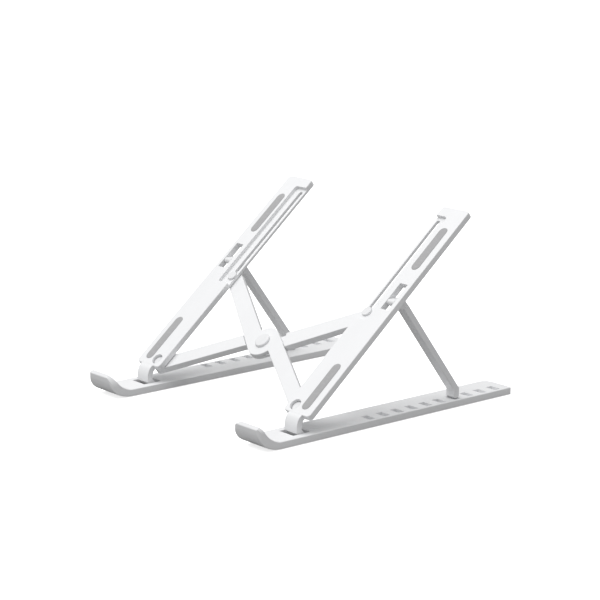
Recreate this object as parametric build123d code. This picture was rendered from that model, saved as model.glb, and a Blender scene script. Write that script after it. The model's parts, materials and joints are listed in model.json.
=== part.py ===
"""Folding laptop stand: two side frames joined by a pair of crossed links.

Each side frame is a flat base bar with an upturned front hook, an arm hinged
near the front of the bar, and a strut that props the arm up in one of ten
notches.  The crossed links lie under the arms and let the frames move apart.

Everything is modelled for the right side and mirrored for the left.
x runs across the stand, y from front to back and z up.  While a piece is
being shaped, y = 0 is the bend between the bar and its hook, w is the
distance outwards from a side frame's inner face, and the arm frame has its
origin on the hinge axis, t along the arm and m square to it.
"""
import os
from math import asin, atan2, cos, degrees, hypot, radians, sin

from build123d import *

# ---- overall ------------------------------------------------------------
HALF_WIDTH = 105.0          # middle of the stand to the outer face of a bar
BAR_WIDTH = 28.8            # width of a base bar and of an arm
INNER_X = HALF_WIDTH - BAR_WIDTH
EDGE = 0.6                  # rounding of the moulded edges
RUNNING = 0.05              # radial clearance of a turning shaft

# ---- base bar -----------------------------------------------------------
BASE_BOTTOM = 0.5
BASE_TOP = 5.9
BASE_REAR = 230.0
HOOK_REACH = 19.8           # how far the hook stands forward of the bend
HOOK_HEIGHT = 20.0
HOOK_INNER_CORNER = 9.5
HOOK_OUTER_CORNER = 5.5
HOOK_FRONT_CORNER = 3.5
HOOK_RIM_RADIUS = 0.9
REAR_INNER_CORNER = 8.0
REAR_OUTER_CORNER = 1.5
NOTCHES = 10
NOTCH_PITCH = 14.25
FIRST_NOTCH_Y = 89.0
NOTCH_LENGTH = 5.8
NOTCH_WIDTH = 10.0
NOTCH_DEPTH = 3.2
NOTCH_W = 21.4              # middle of the notches across the bar
RESTING_NOTCH = 7

# ---- hinge between base bar and arm --------------------------------------
HINGE_Y = 28.0
HINGE_Z = 3.2
HINGE_PIN_RADIUS = 1.2
HINGE_PIN_ENDS = (3.0, 25.8)
TONGUE_MIDDLE = 14.4
TONGUE_WIDTH = 14.0
TONGUE_BARREL_RADIUS = 2.4
POCKET_FRONT = 19.8
POCKET_REAR = 33.0
POCKET_RAMP_TOP = 17.0      # the pocket's front slopes out to here for the raised tongue
POCKET_SIDE_GAP = 1.0

# ---- arm (arm frame) -----------------------------------------------------
ARM_ANGLE = 39.86
ARM_START = 8.6
ARM_END = 211.5
ARM_TOP = 13.83
ARM_THICKNESS = 5.0
ARM_BOTTOM = ARM_TOP - ARM_THICKNESS
ARM_CORNER = 3.0
LEDGE_WIDTH = 12.2
LEDGE_TOP = ARM_TOP - 2.6
LEDGE_START = 97.6
LEDGE_END = 202.3
TRACK_W = 4.1               # middle of the track in the ledge
TRACK_WIDTH = 3.6
TRACK_END = 199.3
WINDOW = (16.8, 24.8, 110.8, 136.0)
PAD_W = 18.9
PAD_WIDTH = 7.8
PAD_SINK = 0.8
PAD_PROUD = 0.4
LOWER_PAD = (13.4, 56.9)
UPPER_PAD = (150.0, 192.2)

# ---- strut ---------------------------------------------------------------
STRUT_PIN_T = 119.6
STRUT_PIN_M = ARM_TOP - 2.5
STRUT_PIN_RADIUS = 1.0
STRUT_PIN_ENDS = (14.4, 27.2)
STRUT_BARREL_RADIUS = 2.4
STRUT_ANGLE = 53.6          # slope of the strut below the horizontal
STRUT_W = (16.3, 25.3)
STRUT_NECK_W = (17.2, 24.4)
STRUT_FACES = (2.75, 7.95)  # its two broad faces, measured from the pin
NECK_START = 3.2
BODY_START = 8.9
FOOT_THICKNESS = 5.4
FOOT_GAP = 0.3              # foot to the top of the base bar

# ---- crossed links (arm frame) -------------------------------------------
PIVOT_W = 8.1
PIVOT_T = 15.3
CENTRE_T = 60.0
SLIDER_T = 106.6
LINK_TOP = ARM_BOTTOM - 0.4
LINK_THICKNESS = 5.4
LAP_GAP = 0.2
FRONT_BAR_WIDTH = 12.6
REAR_BAR_WIDTH = 13.0
REAR_BAR_HUB_WIDTH = 15.0
HUB_RADIUS = 13.5
FRONT_BAR_OFFSET = HUB_RADIUS - FRONT_BAR_WIDTH / 2     # bar's middle line to the centre pivot
REAR_BAR_OFFSET = HUB_RADIUS - REAR_BAR_HUB_WIDTH / 2
LAP_CLEARANCE = 0.35
REAR_LAP_RADIUS = 20.5      # the rear bars are half as thick inside this
LINK_EDGE = 0.5
LINK_INNER_CORNER = 0.8

# ---- rivets, slider pins and washers --------------------------------------
PIVOT_SHANK = 2.2
PIVOT_HEAD = 4.0
PIVOT_HEAD_HEIGHT = 1.2
PIVOT_SINK_RADIUS = 4.6
PIVOT_SINK_DEPTH = 3.2
SLIDER_SHANK = 1.3
SLIDER_HEAD = 4.0
SLIDER_HEAD_HEIGHT = 1.5
CENTRE_SHANK = 2.5
CENTRE_HEAD = 6.3
CENTRE_HEAD_HEIGHT = 1.9
RIVET_TAIL_HEIGHT = 0.9
WASHER_THICKNESS = 0.3
WASHER_GAP = 0.05

# ---- pads under the base bar ----------------------------------------------
FOOT_PADS = (("front", 2.5, 14.5), ("rear", 208.0, 222.0))
FOOT_PAD_W = (5.4, 23.4)
FOOT_PAD_SINK = 0.6
FOOT_PAD_CORNER = 2.5

ARM_FRAME = Location((0, HINGE_Y, HINGE_Z), (ARM_ANGLE, 0, 0))
TO_ORIGIN = Location((0, (HOOK_REACH - BASE_REAR) / 2, 0))


def arm_point(t, m):
    """(y, z) of a point given in the arm frame."""
    a = radians(ARM_ANGLE)
    return (HINGE_Y + t * cos(a) - m * sin(a), HINGE_Z + t * sin(a) + m * cos(a))


def box(w0, w1, y0, y1, z0, z1):
    """A right-hand block given by its corner values, x measured as w."""
    middle = (INNER_X + (w0 + w1) / 2, (y0 + y1) / 2, (z0 + z1) / 2)
    return Pos(*middle) * Box(w1 - w0, y1 - y0, z1 - z0)


def plate(sketch, z0, z1):
    """A flat sketch made into a plate between two heights."""
    return Pos(0, 0, z0) * extrude(sketch, z1 - z0)


def rounded_edges(part, radius, axis=Axis.Z):
    """The plate with the rims of its two end faces rounded."""
    ends = part.faces().sort_by(axis)
    return fillet(ends[0].edges() + ends[-1].edges(), radius)


def side_profile(sketch, w0, w1):
    """A (y, z) sketch extruded across the bar from w0 to w1."""
    upright = Plane(origin=(INNER_X + w0, 0, 0), x_dir=(0, 1, 0), z_dir=(1, 0, 0))
    return extrude(upright * sketch, w1 - w0)


def cross_shaft(y, z, radius, w0, w1):
    """A round bar across the stand."""
    return side_profile(Pos(y, z) * Circle(radius), w0, w1)


def strip(w, t0, t1, width):
    """A flat strip with round ends along the arm."""
    return Pos(INNER_X + w, (t0 + t1) / 2) * Rot(0, 0, 90) * SlotOverall(t1 - t0, width)


# ---- base bar --------------------------------------------------------------
def bar_profile():
    """The bar and its upturned hook, seen from the side."""
    lip = (-HOOK_REACH + 2.6, HOOK_HEIGHT)
    brow = (-HOOK_REACH, HOOK_HEIGHT - 2.4)
    under = Spline([(2, BASE_BOTTOM), (-9.0, 2.4), (-15.8, 6.6), (-18.9, 12.4), brow],
                   tangents=[(-1, 0), (-0.12, 1)])
    inner_lip = (lip[0] + 2.4, HOOK_HEIGHT - 3.0)
    rim = Polyline(brow, lip, inner_lip)
    cradle = Spline([inner_lip, (-10.2, 11.2), (0, BASE_TOP)], tangents=[(0.6, -1), (1, -0.25)])
    bar = Polyline((0, BASE_TOP), (BASE_REAR, BASE_TOP), (BASE_REAR, BASE_BOTTOM), (2, BASE_BOTTOM))
    face = make_face(under + rim + cradle + bar)
    face = fillet(face.vertices().group_by(Axis.Y)[-1], HOOK_RIM_RADIUS)
    return fillet(face.vertices().sort_by(Axis.X)[0], HOOK_RIM_RADIUS)


def hook_curtain():
    """Everything inside the hook's front view, with its rounded corners."""
    face = Rectangle(BAR_WIDTH, 60)
    top = face.vertices().group_by(Axis.Y)[-1].sort_by(Axis.X)
    face = fillet(top[0], HOOK_INNER_CORNER)
    outer = face.vertices().group_by(Axis.X)[-1].sort_by(Axis.Y)[-1]
    face = fillet(outer, HOOK_OUTER_CORNER)
    upright = Plane(origin=(INNER_X + BAR_WIDTH / 2, 0, HOOK_HEIGHT - 30), x_dir=(1, 0, 0), z_dir=(0, -1, 0))
    return extrude(upright * face, BASE_REAR + 10, both=True)


def bar_outline():
    """The bar seen from above, with its rounded corners."""
    face = Rectangle(BAR_WIDTH, BASE_REAR + HOOK_REACH)
    face = fillet(face.vertices().group_by(Axis.Y)[0], HOOK_FRONT_CORNER)
    rear = face.vertices().group_by(Axis.Y)[-1].sort_by(Axis.X)
    face = fillet(rear[0], REAR_INNER_CORNER)
    outer = face.vertices().group_by(Axis.X)[-1].sort_by(Axis.Y)[-1]
    face = fillet(outer, REAR_OUTER_CORNER)
    return Pos(INNER_X + BAR_WIDTH / 2, (BASE_REAR - HOOK_REACH) / 2) * face


def base_bar():
    bar = side_profile(bar_profile(), 0, BAR_WIDTH)
    bar = rounded_edges(bar, EDGE, Axis.X)
    bar = bar & hook_curtain() & plate(bar_outline(), -1, 60)

    for number in range(NOTCHES):
        y = FIRST_NOTCH_Y + number * NOTCH_PITCH
        w0, w1 = NOTCH_W - NOTCH_WIDTH / 2, NOTCH_W + NOTCH_WIDTH / 2
        y0, y1 = y - NOTCH_LENGTH / 2, y + NOTCH_LENGTH / 2
        bar -= box(w0, w1, y0, y1, BASE_TOP - NOTCH_DEPTH, BASE_TOP + 1)

    reach = TONGUE_WIDTH / 2 + POCKET_SIDE_GAP
    pocket = (TONGUE_MIDDLE - reach, TONGUE_MIDDLE + reach, POCKET_FRONT, POCKET_REAR)
    bar -= box(*pocket, BASE_BOTTOM - 1, BASE_TOP + 1)
    ramp = Polyline((POCKET_FRONT, 2.0), (POCKET_FRONT, BASE_TOP), (POCKET_RAMP_TOP, BASE_TOP), close=True)
    bar -= side_profile(make_face(ramp), *pocket[:2])
    bar -= cross_shaft(HINGE_Y, HINGE_Z, HINGE_PIN_RADIUS, *HINGE_PIN_ENDS)
    for _, y0, y1 in FOOT_PADS:
        bar -= foot_pad(y0, y1)
    return bar


def foot_pad(y0, y1):
    w0, w1 = FOOT_PAD_W
    pad = Pos(INNER_X + (w0 + w1) / 2, (y0 + y1) / 2) * RectangleRounded(w1 - w0, y1 - y0, FOOT_PAD_CORNER)
    return plate(pad, 0, BASE_BOTTOM + FOOT_PAD_SINK)


def hinge_pin():
    return cross_shaft(HINGE_Y, HINGE_Z, HINGE_PIN_RADIUS, *HINGE_PIN_ENDS)


# ---- arm -------------------------------------------------------------------
def tongue():
    """The curled tongue that joins the arm's lower end to the hinge pin."""
    root_top = arm_point(ARM_START + 2, ARM_TOP - 0.2)
    root_bottom = arm_point(ARM_START + 2, ARM_BOTTOM + 0.7)
    along = (cos(radians(ARM_ANGLE)), sin(radians(ARM_ANGLE)))
    front = HINGE_Y - 6.9
    heel = (front, HINGE_Z + 3.0)
    outer = Spline([root_top, (front + 2.3, 17.3), (front + 0.4, 13.3), heel],
                   tangents=[(-along[0], -along[1]), (0, -1)])
    sole = Polyline(heel, (HINGE_Y - 1.3, HINGE_Z - 1.9), (HINGE_Y + 0.9, HINGE_Z + 2.1),
                    (front + 4.6, HINGE_Z + 5.0))
    inner = Spline([(front + 4.6, HINGE_Z + 5.0), (front + 4.5, 11.0), (front + 6, 14.8), root_bottom],
                   tangents=[(-0.4, 1), along])
    profile = make_face(outer + sole + inner + Line(root_bottom, root_top))
    profile += Pos(HINGE_Y, HINGE_Z) * Circle(TONGUE_BARREL_RADIUS)
    w0 = TONGUE_MIDDLE - TONGUE_WIDTH / 2
    return side_profile(profile, w0, w0 + TONGUE_WIDTH)


def arm_blank():
    """The arm as a plain plate with rounded corners, in the arm frame."""
    outline = Pos(INNER_X + BAR_WIDTH / 2, (ARM_START + ARM_END) / 2)
    outline *= RectangleRounded(BAR_WIDTH, ARM_END - ARM_START, ARM_CORNER)
    return rounded_edges(plate(outline, ARM_BOTTOM, ARM_TOP), EDGE)


def pad_strip(ends):
    return strip(PAD_W, ends[0], ends[1], PAD_WIDTH)


def arm_cutters():
    """Everything taken out of the arm's plate, in the arm frame."""
    ledge = Pos(INNER_X + LEDGE_WIDTH / 2 - 5, (LEDGE_START + LEDGE_END) / 2)
    ledge *= RectangleRounded(LEDGE_WIDTH + 10, LEDGE_END - LEDGE_START, 2.5)
    yield plate(ledge, LEDGE_TOP, ARM_TOP + 1)
    track = strip(TRACK_W, SLIDER_T - TRACK_WIDTH / 2, TRACK_END, TRACK_WIDTH)
    yield plate(track, ARM_BOTTOM - 1, ARM_TOP + 1)
    w0, w1, t0, t1 = WINDOW
    yield box(w0, w1, t0, t1, ARM_BOTTOM - 1, ARM_TOP + 1)
    for ends in (LOWER_PAD, UPPER_PAD):
        yield plate(pad_strip(ends), ARM_TOP - PAD_SINK, ARM_TOP + 1)
    pivot = Pos(INNER_X + PIVOT_W, PIVOT_T)
    yield plate(pivot * Circle(PIVOT_SINK_RADIUS), ARM_TOP - PIVOT_SINK_DEPTH, ARM_TOP + 3)
    yield plate(pivot * Circle(PIVOT_SHANK), ARM_BOTTOM - 1, ARM_TOP)


def arm():
    body = ARM_FRAME * arm_blank() + tongue()
    for cutter in arm_cutters():
        body -= ARM_FRAME * cutter
    body -= cross_shaft(HINGE_Y, HINGE_Z, HINGE_PIN_RADIUS + RUNNING, 0, BAR_WIDTH)
    body -= cross_shaft(*arm_point(STRUT_PIN_T, STRUT_PIN_M), STRUT_PIN_RADIUS, *STRUT_PIN_ENDS)
    return body


def arm_pad(ends):
    pad = plate(pad_strip(ends), ARM_TOP - PAD_SINK, ARM_TOP + PAD_PROUD)
    top = pad.faces().sort_by(Axis.Z)[-1]
    return ARM_FRAME * fillet(top.edges(), 0.3)


# ---- strut -----------------------------------------------------------------
def strut_point(s, o):
    """(y, z) of a point s along the strut from its pin and o behind it."""
    y, z = arm_point(STRUT_PIN_T, STRUT_PIN_M)
    a = radians(STRUT_ANGLE)
    return (y + s * cos(a) + o * sin(a), z - s * sin(a) + o * cos(a))


def strut_at(y, o):
    """The point of one broad face, or its line, that has a given y."""
    a = radians(STRUT_ANGLE)
    s = (y - strut_point(0, o)[0]) / cos(a)
    return strut_point(s, o)


def strut():
    front, back = STRUT_FACES
    foot_y = FIRST_NOTCH_Y + (RESTING_NOTCH - 1) * NOTCH_PITCH + 0.2
    y0, y1 = foot_y - FOOT_THICKNESS / 2, foot_y + FOOT_THICKNESS / 2
    sole = BASE_TOP + FOOT_GAP
    leg = [strut_point(BODY_START, front), strut_at(y0, front), (y0, sole), (y1, sole),
           strut_at(y1, back), strut_point(BODY_START, back)]
    leg_face = make_face(Polyline(*leg, close=True))
    toes = leg_face.vertices().group_by(Axis.Y)[0]
    leg_face = fillet(toes, 1.8)
    body = side_profile(leg_face, *STRUT_W)
    sides = body.faces().sort_by(Axis.X)
    body = fillet(sides[0].edges() + sides[-1].edges(), EDGE)

    barrel = Pos(*strut_point(0, 0)) * Circle(STRUT_BARREL_RADIUS)
    neck = Polyline(strut_point(NECK_START, back), strut_point(BODY_START + 1, back),
                    strut_point(BODY_START + 1, front))
    body += side_profile(make_hull(barrel.edges() + neck.edges()), *STRUT_NECK_W)
    body -= cross_shaft(*strut_point(0, 0), STRUT_PIN_RADIUS + RUNNING, 0, BAR_WIDTH)
    return body


def strut_pin():
    return cross_shaft(*arm_point(STRUT_PIN_T, STRUT_PIN_M), STRUT_PIN_RADIUS, *STRUT_PIN_ENDS)


# ---- crossed links ----------------------------------------------------------
def tangent_foot(pin, offset):
    """Where a bar from the pin passes the centre pivot at the given offset."""
    dx, dt = pin[0], pin[1] - CENTRE_T
    reach = hypot(dx, dt)
    turn = atan2(dt, dx) + (radians(90) - asin(offset / reach))
    return (offset * cos(turn), CENTRE_T + offset * sin(turn))


def link_bar(pin, foot, width, hub_width):
    """A bar from its round end at a pin to a point abreast of the centre pivot."""
    length = hypot(foot[0] - pin[0], foot[1] - pin[1])
    turn = degrees(atan2(foot[1] - pin[1], foot[0] - pin[0]))
    hub_end = Line((length, -hub_width / 2), (length, hub_width / 2))
    bar = make_hull(Circle(width / 2).edges() + hub_end.edges())
    return Pos(*pin) * Rot(0, 0, turn) * bar


FRONT_PIN = (INNER_X + PIVOT_W, PIVOT_T)
REAR_PIN = (-(INNER_X + TRACK_W), SLIDER_T)


def front_bar(grow=0.0):
    width = FRONT_BAR_WIDTH + 2 * grow
    return link_bar(FRONT_PIN, tangent_foot(FRONT_PIN, FRONT_BAR_OFFSET), width, width)


def rear_bar(grow=0.0):
    foot = tangent_foot(REAR_PIN, REAR_BAR_OFFSET)
    return link_bar(REAR_PIN, foot, REAR_BAR_WIDTH + 2 * grow, REAR_BAR_HUB_WIDTH + 2 * grow)


def hub(grow=0.0):
    return Pos(0, CENTRE_T) * Circle(HUB_RADIUS + grow)


def link_outline(grow=0.0):
    return hub(grow) + front_bar(grow) + rear_bar(grow)


def mirrored(shape):
    return mirror(shape, about=Plane.YZ)


def link(own_layer, other_layer):
    """A link from the right arm's pivot to the left arm's track.

    Its hub fills own_layer only.  Its bars fill both layers wherever the
    other link never comes.
    """
    centre = Pos(0, CENTRE_T)
    other = mirrored(link_outline(LAP_CLEARANCE))
    outline = link_outline()
    outline = fillet(outline.vertices(), LINK_INNER_CORNER)
    body = rimmed_plate(outline, own_layer)
    front = front_bar() - centre * Circle(HUB_RADIUS + LAP_CLEARANCE) - other
    rear = rear_bar() - centre * Circle(REAR_LAP_RADIUS) - other
    for bar in (front, rear):
        body += rimmed_plate(bar.faces().sort_by(SortBy.AREA)[-1], other_layer)
    return body


def rimmed_plate(sketch, layer):
    """One layer of a link, with its rim rounded on the link's outer face."""
    body = plate(sketch, *layer)
    upper = layer[1] == LINK_TOP
    face = body.faces().sort_by(Axis.Z)[-1 if upper else 0]
    return fillet(face.edges(), LINK_EDGE)


def layers():
    """Heights of the upper and the lower half of the links, with the gap between."""
    middle = LINK_TOP - LINK_THICKNESS / 2
    upper = (middle + LAP_GAP / 2, LINK_TOP)
    lower = (LINK_TOP - LINK_THICKNESS, middle - LAP_GAP / 2)
    return upper, lower


def bored(body, bores):
    for x, t, radius in bores:
        body -= plate(Pos(x, t) * Circle(radius), LINK_TOP - LINK_THICKNESS - 1, LINK_TOP + 1)
    return body


def link_pair():
    upper, lower = layers()
    middle = (upper[0] + lower[1]) / 2
    bores = [(*FRONT_PIN, PIVOT_SHANK + RUNNING), (*REAR_PIN, SLIDER_SHANK)]
    link_b = link((middle, upper[1]), (lower[0], middle))
    link_b = trim_lap(link_b, middle, upper[0], True)
    link_b = bored(link_b, bores + [(0, CENTRE_T, CENTRE_SHANK)])
    link_a = link((lower[0], middle), (middle, upper[1]))
    link_a = trim_lap(link_a, middle, lower[1], False)
    link_a = bored(link_a, bores + [(0, CENTRE_T, CENTRE_SHANK + RUNNING)])
    return ARM_FRAME * mirrored(link_a), ARM_FRAME * link_b


def trim_lap(body, middle, face, upper):
    """Take half the lap gap off the face that slides on the other link."""
    inside = Pos(0, CENTRE_T) * Circle(REAR_LAP_RADIUS)
    other = mirrored(link_outline(LAP_CLEARANCE)) + inside
    heights = (middle, face) if upper else (face, middle)
    return body - plate(other, *heights)


# ---- rivets, pins and washers ------------------------------------------------
def stepped_pin(x, t, steps):
    """Round steps stacked along the arm's normal, each (radius, low, high)."""
    body = None
    for radius, low, high in steps:
        step = plate(Pos(x, t) * Circle(radius), low, high)
        body = step if body is None else body + step
    return body


def domed(body, radius):
    """The pin with the rim of its upper face rounded."""
    return fillet(body.faces().sort_by(Axis.Z)[-1].edges(), radius)


def pivot_rivet():
    floor = ARM_TOP - PIVOT_SINK_DEPTH
    link_bottom = LINK_TOP - LINK_THICKNESS
    steps = [(PIVOT_SHANK, link_bottom - RIVET_TAIL_HEIGHT, floor),
             (PIVOT_HEAD, floor, floor + PIVOT_HEAD_HEIGHT),
             (PIVOT_HEAD - 0.6, link_bottom - RIVET_TAIL_HEIGHT, link_bottom - WASHER_GAP)]
    return ARM_FRAME * domed(stepped_pin(*FRONT_PIN, steps), 0.5)


def slider_pin():
    link_bottom = LINK_TOP - LINK_THICKNESS
    ledge = LEDGE_TOP + WASHER_GAP
    steps = [(SLIDER_SHANK, link_bottom - RIVET_TAIL_HEIGHT, ledge),
             (SLIDER_HEAD, ledge, ledge + SLIDER_HEAD_HEIGHT),
             (SLIDER_HEAD - 1, link_bottom - RIVET_TAIL_HEIGHT, link_bottom)]
    return ARM_FRAME * domed(stepped_pin(INNER_X + TRACK_W, SLIDER_T, steps), 0.5)


def centre_rivet():
    link_bottom = LINK_TOP - LINK_THICKNESS
    steps = [(CENTRE_SHANK, link_bottom - RIVET_TAIL_HEIGHT, LINK_TOP),
             (CENTRE_SHANK + 2, link_bottom - RIVET_TAIL_HEIGHT, link_bottom - WASHER_GAP)]
    return ARM_FRAME * stepped_pin(0, CENTRE_T, steps)


def centre_cap():
    cap = stepped_pin(0, CENTRE_T, [(CENTRE_HEAD, LINK_TOP, LINK_TOP + CENTRE_HEAD_HEIGHT)])
    return ARM_FRAME * domed(cap, 1.2)


def washer(x, t, bore, radius):
    low = ARM_BOTTOM - WASHER_GAP - WASHER_THICKNESS
    ring = Pos(x, t) * (Circle(radius) - Circle(bore))
    return ARM_FRAME * plate(ring, low, low + WASHER_THICKNESS)


# ---- assembly -----------------------------------------------------------------
def side_parts():
    """Every piece of the right-hand side frame, by name."""
    parts = {
        "base": base_bar(),
        "hinge_pin": hinge_pin(),
        "arm": arm(),
        "lower_arm_pad": arm_pad(LOWER_PAD),
        "upper_arm_pad": arm_pad(UPPER_PAD),
        "strut": strut(),
        "strut_pin": strut_pin(),
        "pivot_rivet": pivot_rivet(),
        "pivot_washer": washer(*FRONT_PIN, PIVOT_SHANK + RUNNING, 4.6),
        "slider_pin": slider_pin(),
        "slider_washer": washer(INNER_X + TRACK_W, SLIDER_T, SLIDER_SHANK, 3.8),
    }
    for name, y0, y1 in FOOT_PADS:
        parts[name + "_foot_pad"] = foot_pad(y0, y1)
    return parts


def assembly():
    nodes = {}
    for name, piece in side_parts().items():
        nodes["right_" + name] = piece
        nodes["left_" + name] = mirrored(piece)
    nodes["link_a"], nodes["link_b"] = link_pair()
    nodes["centre_rivet"] = centre_rivet()
    nodes["centre_cap"] = centre_cap()
    return {name: TO_ORIGIN * piece for name, piece in nodes.items()}


os.makedirs("parts", exist_ok=True)
for node, piece in assembly().items():
    export_step(piece, f"parts/{node}.step")
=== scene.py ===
"""Looks of the folding laptop stand: moulded plastic, silicone pads, rivets, light and camera."""

import json
from math import cos, pi, radians, sin

import bmesh
import bpy
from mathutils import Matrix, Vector


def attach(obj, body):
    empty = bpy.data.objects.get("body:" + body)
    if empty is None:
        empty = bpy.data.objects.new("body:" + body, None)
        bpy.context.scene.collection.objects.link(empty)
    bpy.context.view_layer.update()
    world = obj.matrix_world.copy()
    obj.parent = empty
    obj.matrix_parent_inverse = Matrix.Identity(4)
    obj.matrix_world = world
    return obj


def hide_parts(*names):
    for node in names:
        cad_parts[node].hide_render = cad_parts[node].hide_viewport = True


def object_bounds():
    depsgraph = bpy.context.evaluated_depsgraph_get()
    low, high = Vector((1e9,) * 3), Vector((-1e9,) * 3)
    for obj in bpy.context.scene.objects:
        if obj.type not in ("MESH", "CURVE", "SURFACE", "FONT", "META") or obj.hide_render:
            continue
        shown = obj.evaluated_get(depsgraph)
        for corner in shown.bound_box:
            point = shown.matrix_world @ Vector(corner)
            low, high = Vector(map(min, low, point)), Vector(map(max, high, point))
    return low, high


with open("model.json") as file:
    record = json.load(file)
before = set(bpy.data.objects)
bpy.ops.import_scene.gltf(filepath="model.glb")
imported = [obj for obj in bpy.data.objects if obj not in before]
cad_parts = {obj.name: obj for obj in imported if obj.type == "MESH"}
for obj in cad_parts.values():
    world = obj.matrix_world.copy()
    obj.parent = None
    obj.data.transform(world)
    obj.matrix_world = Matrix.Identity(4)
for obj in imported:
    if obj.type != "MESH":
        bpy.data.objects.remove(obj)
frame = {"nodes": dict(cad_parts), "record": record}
cad_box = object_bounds()

MM = 0.001
SIDES = ("right", "left")

# the foot pads' rim and ribs
FOOT_CORNER = 2.5 * MM
FOOT_TREAD = 0.25 * MM
FOOT_ROLL = 0.3 * MM
FOOT_FLAT_INSET = 0.8 * MM
RIB_PITCH = 2.2 * MM
RIB_END_GAP = 2.2 * MM
RIB_RADIUS = 0.65 * MM
RIB_ROOT = 0.1 * MM

# the camera stands this far round, above and away from the middle of the stand
CAMERA_AZIMUTH = 50.29
CAMERA_ELEVATION = 12.93
CAMERA_DISTANCE = 1.6185
CAMERA_LENS = 127.1

# the floor looks white but throws back only part of the light
FLOOR_GLOW = 0.72
FLOOR_BOUNCE = 0.3
SURROUNDINGS = 0.6


# ---------------------------------------------------------------- the arm's own directions
def record_mount(name):
    return next(m for m in frame["record"]["mounts"] if m["name"] == name)


ARM_NORMAL = Vector(record_mount("right_laptop_rest")["axis"]).normalized()
ACROSS = Vector((1, 0, 0))
ALONG = ARM_NORMAL.cross(ACROSS).normalized()
ARM_AXES = (ACROSS, ALONG, ARM_NORMAL)
ROW_AXES = (Vector((1, 0, 0)), Vector((0, 1, 0)), Vector((0, 0, 1)))


def span(node, axis):
    """Lowest and highest reach of a CAD node along a direction."""
    reach = [v.co.dot(axis) for v in frame["nodes"][node].data.vertices]
    return min(reach), max(reach)


def placed_box(node, axes):
    """Middle and half sizes of a CAD node, measured along three square directions."""
    spans = [span(node, axis) for axis in axes]
    middle = sum((axis * (low + high) / 2 for axis, (low, high) in zip(axes, spans)), Vector())
    return middle, [(high - low) / 2 for low, high in spans]


def body_of_node(node):
    for body, members in frame["record"]["behaviour"]["bodies"].items():
        if node in members:
            return body


# ---------------------------------------------------------------- node helpers
def new_group(name, inputs, outputs):
    """A shader node group with float inputs {name: default} and outputs {name: socket type}."""
    tree = bpy.data.node_groups.new(name, "ShaderNodeTree")
    for label, value in inputs.items():
        socket = tree.interface.new_socket(label, in_out="INPUT", socket_type="NodeSocketFloat")
        socket.default_value = value
    for label, kind in outputs.items():
        tree.interface.new_socket(label, in_out="OUTPUT", socket_type=kind)
    return tree, tree.nodes.new("NodeGroupInput"), tree.nodes.new("NodeGroupOutput")


def add(tree, kind, settings=None, **links):
    """A new node with its settings; links gives each input by name: a socket or a plain value."""
    node = tree.nodes.new(kind)
    for key, value in (settings or {}).items():
        setattr(node, key, value)
    for label, value in links.items():
        socket = node.inputs[int(label[1:])] if label[0] == "_" else node.inputs[label.replace("_", " ")]
        if isinstance(value, bpy.types.NodeSocket):
            tree.links.new(value, socket)
        else:
            socket.default_value = value
    return node


def math_node(tree, operation, a, b=0.5, clamp=False):
    return add(tree, "ShaderNodeMath", {"operation": operation, "use_clamp": clamp}, _0=a, _1=b).outputs[0]


def map_range(tree, value, low, high, to_low, to_high):
    node = add(tree, "ShaderNodeMapRange", {"clamp": True}, Value=value, From_Min=low, From_Max=high,
               To_Min=to_low, To_Max=to_high)
    return node.outputs["Result"]


def noise(tree, scale, detail=3.0, roughness=0.5, stretch=None):
    """Noise over the piece's own coordinates, in metres, stretched along an axis if asked."""
    where = add(tree, "ShaderNodeTexCoord").outputs["Object"]
    if stretch:
        where = add(tree, "ShaderNodeMapping", Vector=where, Scale=stretch).outputs["Vector"]
    node = add(tree, "ShaderNodeTexNoise", Vector=where, Scale=scale, Detail=detail, Roughness=roughness)
    return node.outputs["Fac"]


# ---------------------------------------------------------------- shared effects
def moulded_grain():
    """Fine spark-eroded grain of a mould, with a slow change of gloss over it."""
    tree, given, made = new_group("moulded_grain", {"Scale": 2600.0, "Gloss spread": 0.1},
                                  {"Height": "NodeSocketFloat", "Gloss": "NodeSocketFloat"})
    fine = noise(tree, given.outputs["Scale"], 4.0, 0.62)
    slow = noise(tree, 38.0, 2.0)
    cells = add(tree, "ShaderNodeTexVoronoi", Vector=add(tree, "ShaderNodeTexCoord").outputs["Object"],
                Scale=given.outputs["Scale"]).outputs["Distance"]
    height = math_node(tree, "ADD", fine, math_node(tree, "MULTIPLY", cells, 0.35))
    drift = math_node(tree, "SUBTRACT", math_node(tree, "ADD", slow, fine), 1.0)
    tree.links.new(height, made.inputs["Height"])
    tree.links.new(math_node(tree, "MULTIPLY", drift, given.outputs["Gloss spread"]), made.inputs["Gloss"])
    return tree


def worn_and_highlit_edge():
    """A mask that is one on rubbed outer edges and breaks up along them; it marks real wear and also a
    painted edge highlight.
    """
    tree, given, made = new_group("worn_and_highlit_edge", {"Width": 0.0003, "Breakup": 160.0},
                                  {"Mask": "NodeSocketFloat", "Soft normal": "NodeSocketVector"})
    soft = add(tree, "ShaderNodeBevel", {"samples": 6}, Radius=given.outputs["Width"]).outputs["Normal"]
    flat = add(tree, "ShaderNodeNewGeometry").outputs["Normal"]
    turn = add(tree, "ShaderNodeVectorMath", {"operation": "DOT_PRODUCT"}, _0=soft, _1=flat).outputs["Value"]
    edge = map_range(tree, turn, 0.99, 0.8, 0.0, 1.0)
    patches = map_range(tree, noise(tree, given.outputs["Breakup"], 4.0, 0.6), 0.42, 0.62, 0.0, 1.0)
    tree.links.new(math_node(tree, "MULTIPLY", edge, patches), made.inputs["Mask"])
    tree.links.new(soft, made.inputs["Soft normal"])
    return tree


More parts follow.
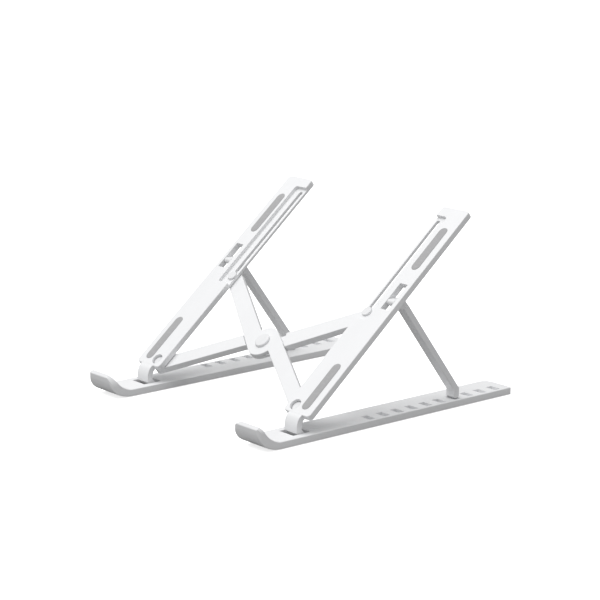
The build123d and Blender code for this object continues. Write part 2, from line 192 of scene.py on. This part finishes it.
def settled_dust():
    """A faint mask of dust on what faces up."""
    tree, given, made = new_group("settled_dust", {"Amount": 0.3}, {"Mask": "NodeSocketFloat"})
    facing = add(tree, "ShaderNodeSeparateXYZ", Vector=add(tree, "ShaderNodeNewGeometry").outputs["Normal"])
    upward = map_range(tree, facing.outputs["Z"], 0.2, 1.0, 0.0, 1.0)
    specks = map_range(tree, noise(tree, 900.0, 5.0, 0.7), 0.52, 0.74, 0.0, 1.0)
    clouds = map_range(tree, noise(tree, 26.0, 3.0), 0.4, 0.7, 0.2, 1.0)
    dust = math_node(tree, "MULTIPLY", math_node(tree, "MULTIPLY", specks, clouds), upward)
    tree.links.new(math_node(tree, "MULTIPLY", dust, given.outputs["Amount"], True), made.inputs["Mask"])
    return tree


def flow_marks():
    """Slow pale and warm bands, as melt leaves along a moulded plate."""
    tree, given, made = new_group("flow_marks", {"Strength": 0.5}, {"Mask": "NodeSocketFloat"})
    bands = noise(tree, 30.0, 3.0, 0.55, (2.5, 0.5, 0.5))
    mask = map_range(tree, bands, 0.35, 0.7, 0.0, 1.0)
    tree.links.new(math_node(tree, "MULTIPLY", mask, given.outputs["Strength"]), made.inputs["Mask"])
    return tree


GRAIN, WORN_AND_HIGHLIT, DUST, FLOW = moulded_grain(), worn_and_highlit_edge(), settled_dust(), flow_marks()


def use(tree, group, **values):
    node = tree.nodes.new("ShaderNodeGroup")
    node.node_tree = group
    for label, value in values.items():
        node.inputs[label.replace("_", " ")].default_value = value
    return node


def mixed(tree, mask, low, high):
    """Colour low where the mask is nought and colour high where it is one."""
    return add(tree, "ShaderNodeMix", {"data_type": "RGBA"}, _0=mask, _6=low, _7=high).outputs[2]


def new_material(name, **fixed):
    """A material with a plain surface shader; fixed sets values that are the same all over."""
    material = bpy.data.materials.new(name)
    material.use_nodes = True
    tree = material.node_tree
    shader = tree.nodes["Principled BSDF"]
    for label, value in fixed.items():
        shader.inputs[label.replace("_", " ")].default_value = value
    return material, tree, shader


def moulded_plastic(name, colour, shade, roughness=0.4, grain=2600.0, depth=0.00003, edge=0.0003,
                    dust=0.16, **fixed):
    """Satin moulded plastic: mould grain, flow marks, rubbed edges that are polished and painted lighter as a
    painted highlight, and a little dust.
    """
    material, tree, shader = new_material(name, IOR=1.53, **fixed)
    grain_node = use(tree, GRAIN, Scale=grain, Gloss_spread=0.16)
    wear_and_highlight = use(tree, WORN_AND_HIGHLIT, Width=edge)
    marks = use(tree, FLOW, Strength=0.55)
    base = mixed(tree, marks.outputs["Mask"], colour, shade)
    # edges painted lighter as a painted highlight; the same mask polishes them below as real wear
    rubbed_and_highlit = mixed(tree, wear_and_highlight.outputs["Mask"], base, tuple(min(1.0, c * 1.06) for c in colour[:3]) + (1,))
    dusty = mixed(tree, use(tree, DUST, Amount=dust).outputs["Mask"], rubbed_and_highlit, (0.62, 0.61, 0.58, 1))
    tree.links.new(dusty, shader.inputs["Base Color"])
    gloss = math_node(tree, "ADD", grain_node.outputs["Gloss"], roughness)
    polished = math_node(tree, "SUBTRACT", gloss, math_node(tree, "MULTIPLY", wear_and_highlight.outputs["Mask"], 0.12))
    tree.links.new(polished, shader.inputs["Roughness"])
    bump = add(tree, "ShaderNodeBump", Strength=0.35, Distance=depth, Height=grain_node.outputs["Height"],
               Normal=wear_and_highlight.outputs["Soft normal"])
    tree.links.new(bump.outputs["Normal"], shader.inputs["Normal"])
    return material


def silicone(name, colour, scuffed):
    """Matte silicone with a fine tooth, scuffed paler along its crown, holding lint."""
    material, tree, shader = new_material(name, IOR=1.41)
    shader.inputs["Sheen Weight"].default_value = 0.12
    shader.inputs["Sheen Roughness"].default_value = 0.6
    grain_node = use(tree, GRAIN, Scale=4200.0, Gloss_spread=0.12)
    scuffs = map_range(tree, noise(tree, 240.0, 5.0, 0.65, (1.0, 3.0, 3.0)), 0.5, 0.72, 0.0, 0.7)
    base = mixed(tree, scuffs, colour, scuffed)
    lint = mixed(tree, use(tree, DUST, Amount=0.35).outputs["Mask"], base, (0.75, 0.74, 0.72, 1))
    tree.links.new(lint, shader.inputs["Base Color"])
    tree.links.new(math_node(tree, "ADD", grain_node.outputs["Gloss"], 0.72), shader.inputs["Roughness"])
    bump = add(tree, "ShaderNodeBump", Strength=0.5, Distance=0.00004, Height=grain_node.outputs["Height"])
    tree.links.new(bump.outputs["Normal"], shader.inputs["Normal"])
    return material


def drawn_steel(name):
    """Cut lengths of drawn wire, with fine lines along them."""
    material, tree, shader = new_material(name, Metallic=1.0)
    lines = noise(tree, 700.0, 4.0, 0.6, (0.05, 4.0, 4.0))
    tree.links.new(mixed(tree, lines, (0.5, 0.5, 0.52, 1), (0.68, 0.68, 0.7, 1)), shader.inputs["Base Color"])
    tree.links.new(map_range(tree, lines, 0.3, 0.7, 0.24, 0.42), shader.inputs["Roughness"])
    bump = add(tree, "ShaderNodeBump", Strength=0.2, Distance=0.00002, Height=lines)
    tree.links.new(bump.outputs["Normal"], shader.inputs["Normal"])
    return material


WHITE = (0.83, 0.835, 0.845, 1)
BAR_PLASTIC = moulded_plastic("base_bar_plastic", WHITE, (0.8, 0.805, 0.815, 1), 0.42)
ARM_PLASTIC = moulded_plastic("arm_plastic", WHITE, (0.805, 0.81, 0.82, 1), 0.4)
STRUT_PLASTIC = moulded_plastic("strut_plastic", (0.8, 0.805, 0.815, 1), (0.77, 0.775, 0.785, 1), 0.44)
LINK_PLASTIC = moulded_plastic("link_plastic", WHITE, (0.8, 0.805, 0.815, 1), 0.38, edge=0.0004)
RIVET_PLASTIC = moulded_plastic("rivet_plastic", (0.79, 0.795, 0.805, 1), (0.76, 0.765, 0.775, 1), 0.27,
                                grain=5200.0, depth=0.00001, edge=0.0003)
NYLON = moulded_plastic("washer_nylon", (0.74, 0.73, 0.69, 1), (0.7, 0.69, 0.65, 1), 0.34, grain=3800.0,
                        edge=0.0002, dust=0.05, Subsurface_Weight=0.15)
PAD_SILICONE = silicone("arm_pad_silicone", (0.37, 0.37, 0.375, 1), (0.44, 0.44, 0.445, 1))
FOOT_SILICONE = silicone("foot_pad_silicone", (0.3, 0.3, 0.31, 1), (0.36, 0.36, 0.37, 1))
STEEL = drawn_steel("pin_steel")

FINISH = {
    "base": BAR_PLASTIC, "arm": ARM_PLASTIC, "strut": STRUT_PLASTIC,
    "link_a": LINK_PLASTIC, "link_b": LINK_PLASTIC,
    "hinge_pin": STEEL, "strut_pin": STEEL, "pivot_rivet": RIVET_PLASTIC, "slider_pin": RIVET_PLASTIC,
    "centre_rivet": RIVET_PLASTIC, "centre_cap": RIVET_PLASTIC, "pivot_washer": NYLON, "slider_washer": NYLON,
    "lower_arm_pad": PAD_SILICONE, "upper_arm_pad": PAD_SILICONE,
    "front_foot_pad": FOOT_SILICONE, "rear_foot_pad": FOOT_SILICONE,
}


def paint_cad_nodes():
    for name, node in frame["nodes"].items():
        kind = name.removeprefix("right_").removeprefix("left_")
        for slot in node.material_slots:
            slot.material = FINISH[kind]


# ---------------------------------------------------------------- pieces that replace plain CAD solids
def mesh_piece(name, mesh_maker, material, node):
    """A mesh built by mesh_maker(bm) that stands for a CAD node and rides with its body."""
    mesh = bpy.data.meshes.new(name)
    bm = bmesh.new()
    mesh_maker(bm)
    bmesh.ops.recalc_face_normals(bm, faces=bm.faces)
    for face in bm.faces:
        face.smooth = True
    bm.to_mesh(mesh)
    bm.free()
    mesh.materials.append(material)
    piece = bpy.data.objects.new(name, mesh)
    bpy.context.scene.collection.objects.link(piece)
    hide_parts(node)
    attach(piece, body_of_node(node))
    return piece


def stadium(half_length, half_width, steps=14):
    """Points of a strip's outline with half-round ends, as (across, along)."""
    straight = half_length - half_width
    points = []
    for end, start in ((1, 0), (-1, pi)):
        for i in range(steps + 1):
            angle = start + pi * i / steps
            points.append((half_width * cos(angle), end * straight + half_width * sin(angle)))
    return points


def add_rings(bm, rings):
    """Joins rings of points, bottom to top, and closes both ends."""
    loops = [[bm.verts.new(p) for p in ring] for ring in rings]
    for low, high in zip(loops, loops[1:]):
        for i in range(len(low)):
            j = (i + 1) % len(low)
            bm.faces.new((low[i], low[j], high[j], high[i]))
    bm.faces.new(loops[0][::-1])
    bm.faces.new(loops[-1])


def crowned_pad(node):
    """A silicone strip with a rolled rim and a slightly crowned top."""
    middle, (half_width, half_length, half_height) = placed_box(node, ARM_AXES)

    def build(bm):
        rings = []
        roll = 0.45 * MM
        levels = [(0.0, -half_height), (0.0, half_height - roll)]
        levels += [(roll * (1 - cos(a)), half_height - roll + roll * 0.8 * sin(a))
                   for a in (pi / 8, pi / 4, 3 * pi / 8, pi / 2)]
        levels += [(1.4 * MM, half_height - 0.03 * MM), (2.6 * MM, half_height)]
        for inset, height in levels:
            outline = stadium(half_length - inset, half_width - inset)
            rings.append([middle + ACROSS * a + ALONG * b + ARM_NORMAL * height for a, b in outline])
        add_rings(bm, rings)

    return mesh_piece(node + "_moulded", build, PAD_SILICONE, node)


def rounded_rectangle(half_width, half_length, corner, inset, steps=6):
    """Points of a rounded rectangle's outline drawn in by inset, as (across, along)."""
    points = []
    for quarter in range(4):
        sign_x = 1 if quarter in (0, 3) else -1
        sign_y = 1 if quarter < 2 else -1
        for i in range(steps + 1):
            angle = (quarter + i / steps) * pi / 2
            points.append((sign_x * (half_width - corner) + (corner - inset) * cos(angle),
                           sign_y * (half_length - corner) + (corner - inset) * sin(angle)))
    return points


def rib_rings(at, reach, radius, height, rise):
    """Rings of a half-round rib across the foot with rounded ends; height is where it starts."""
    x_axis, y_axis, z_axis = ROW_AXES
    rings = []
    for end, tilt in ((-1, pi / 2), (-1, pi / 4), (-1, 0), (1, 0), (1, pi / 4), (1, pi / 2)):
        size = max(cos(tilt), 0.05)
        across = at + x_axis * end * (reach + radius * sin(tilt))
        ring = []
        for i in range(9):
            angle = pi * i / 8
            ring.append(across + y_axis * radius * size * cos(angle)
                        + z_axis * (height - rise * sin(angle) * size))
        rings.append(ring)
    return rings


def ribbed_foot(node):
    """A silicone foot with a rolled rim and rounded ribs across its tread."""
    middle, (half_width, half_length, half_height) = placed_box(node, ROW_AXES)
    x_axis, y_axis, z_axis = ROW_AXES

    def build(bm):
        low = -half_height + FOOT_TREAD
        levels = [(0.0, half_height), (0.0, low + FOOT_ROLL)]
        levels += [(FOOT_ROLL * (1 - cos(a)), low + FOOT_ROLL * (1 - sin(a)))
                   for a in (pi / 8, pi / 4, 3 * pi / 8, pi / 2)]
        levels += [(FOOT_FLAT_INSET, low)]
        add_rings(bm, [[middle + x_axis * a + y_axis * b + z_axis * height
                        for a, b in rounded_rectangle(half_width, half_length, FOOT_CORNER, inset)]
                       for inset, height in levels])
        ribs = int(half_length * 2 / MM / 2.4)
        for i in range(ribs):
            place = (i - (ribs - 1) / 2) * RIB_PITCH
            add_rings(bm, rib_rings(middle + y_axis * place, half_width - RIB_END_GAP, RIB_RADIUS,
                                    low + RIB_ROOT, FOOT_TREAD + RIB_ROOT))

    return mesh_piece(node + "_moulded", build, FOOT_SILICONE, node)


paint_cad_nodes()
for side in SIDES:
    for place in ("lower", "upper"):
        crowned_pad(f"{side}_{place}_arm_pad")
    for place in ("front", "rear"):
        ribbed_foot(f"{side}_{place}_foot_pad")


# ---------------------------------------------------------------- floor, light and camera
def floor():
    mesh = bpy.data.meshes.new("floor")
    bm = bmesh.new()
    bmesh.ops.create_circle(bm, cap_ends=True, radius=9.0, segments=64)
    bm.to_mesh(mesh)
    bm.free()
    piece = bpy.data.objects.new("floor", mesh)
    bpy.context.scene.collection.objects.link(piece)
    material, tree, shader = new_material("floor_paper", Roughness=0.9)
    seen = add(tree, "ShaderNodeLightPath").outputs["Is Camera Ray"]
    paper = mixed(tree, noise(tree, 3.0, 2.0), (0.93, 0.93, 0.93, 1), (0.95, 0.95, 0.95, 1))
    tree.links.new(mixed(tree, seen, (FLOOR_BOUNCE,) * 3 + (1,), paper), shader.inputs["Base Color"])
    shader.inputs["Emission Color"].default_value = (1, 1, 1, 1)
    tree.links.new(math_node(tree, "MULTIPLY", seen, FLOOR_GLOW), shader.inputs["Emission Strength"])
    mesh.materials.append(material)


def softbox(name, azimuth, elevation, distance, size, power):
    """A square light that looks at the stand; azimuth and elevation as for the camera."""
    data = bpy.data.lights.new(name, "AREA")
    data.shape = "SQUARE"
    data.size = size
    data.energy = power
    light = bpy.data.objects.new(name, data)
    bpy.context.scene.collection.objects.link(light)
    aim_from(light, azimuth, elevation, distance)


def aim_from(thing, azimuth, elevation, distance):
    """Puts a light or camera round the middle of the stand, looking at it."""
    low, high = cad_box
    a, e = radians(azimuth), radians(elevation)
    back = Vector((sin(a) * cos(e), -cos(a) * cos(e), sin(e)))
    thing.location = (low + high) / 2 + back * distance
    thing.rotation_mode = "QUATERNION"
    thing.rotation_quaternion = (-back).to_track_quat("-Z", "Y")


def studio_world():
    """White surroundings: bright to look at, softer as a light."""
    world = bpy.data.worlds.new("studio")
    world.use_nodes = True
    bpy.context.scene.world = world
    tree = world.node_tree
    seen = add(tree, "ShaderNodeLightPath").outputs["Is Camera Ray"]
    strength = map_range(tree, seen, 0.0, 1.0, SURROUNDINGS, 1.0)
    tree.links.new(strength, tree.nodes["Background"].inputs["Strength"])
    tree.nodes["Background"].inputs["Color"].default_value = (1, 1, 1, 1)


def camera():
    data = bpy.data.cameras.new("camera")
    data.lens = CAMERA_LENS
    data.sensor_width = 36
    data.clip_start = 0.01
    piece = bpy.data.objects.new("camera", data)
    bpy.context.scene.collection.objects.link(piece)
    aim_from(piece, CAMERA_AZIMUTH, CAMERA_ELEVATION, CAMERA_DISTANCE)
    bpy.context.scene.camera = piece


floor()
studio_world()
softbox("key", -35, 72, 2.4, 2.4, 46)
camera()
bpy.context.scene.view_settings.view_transform = "Standard"
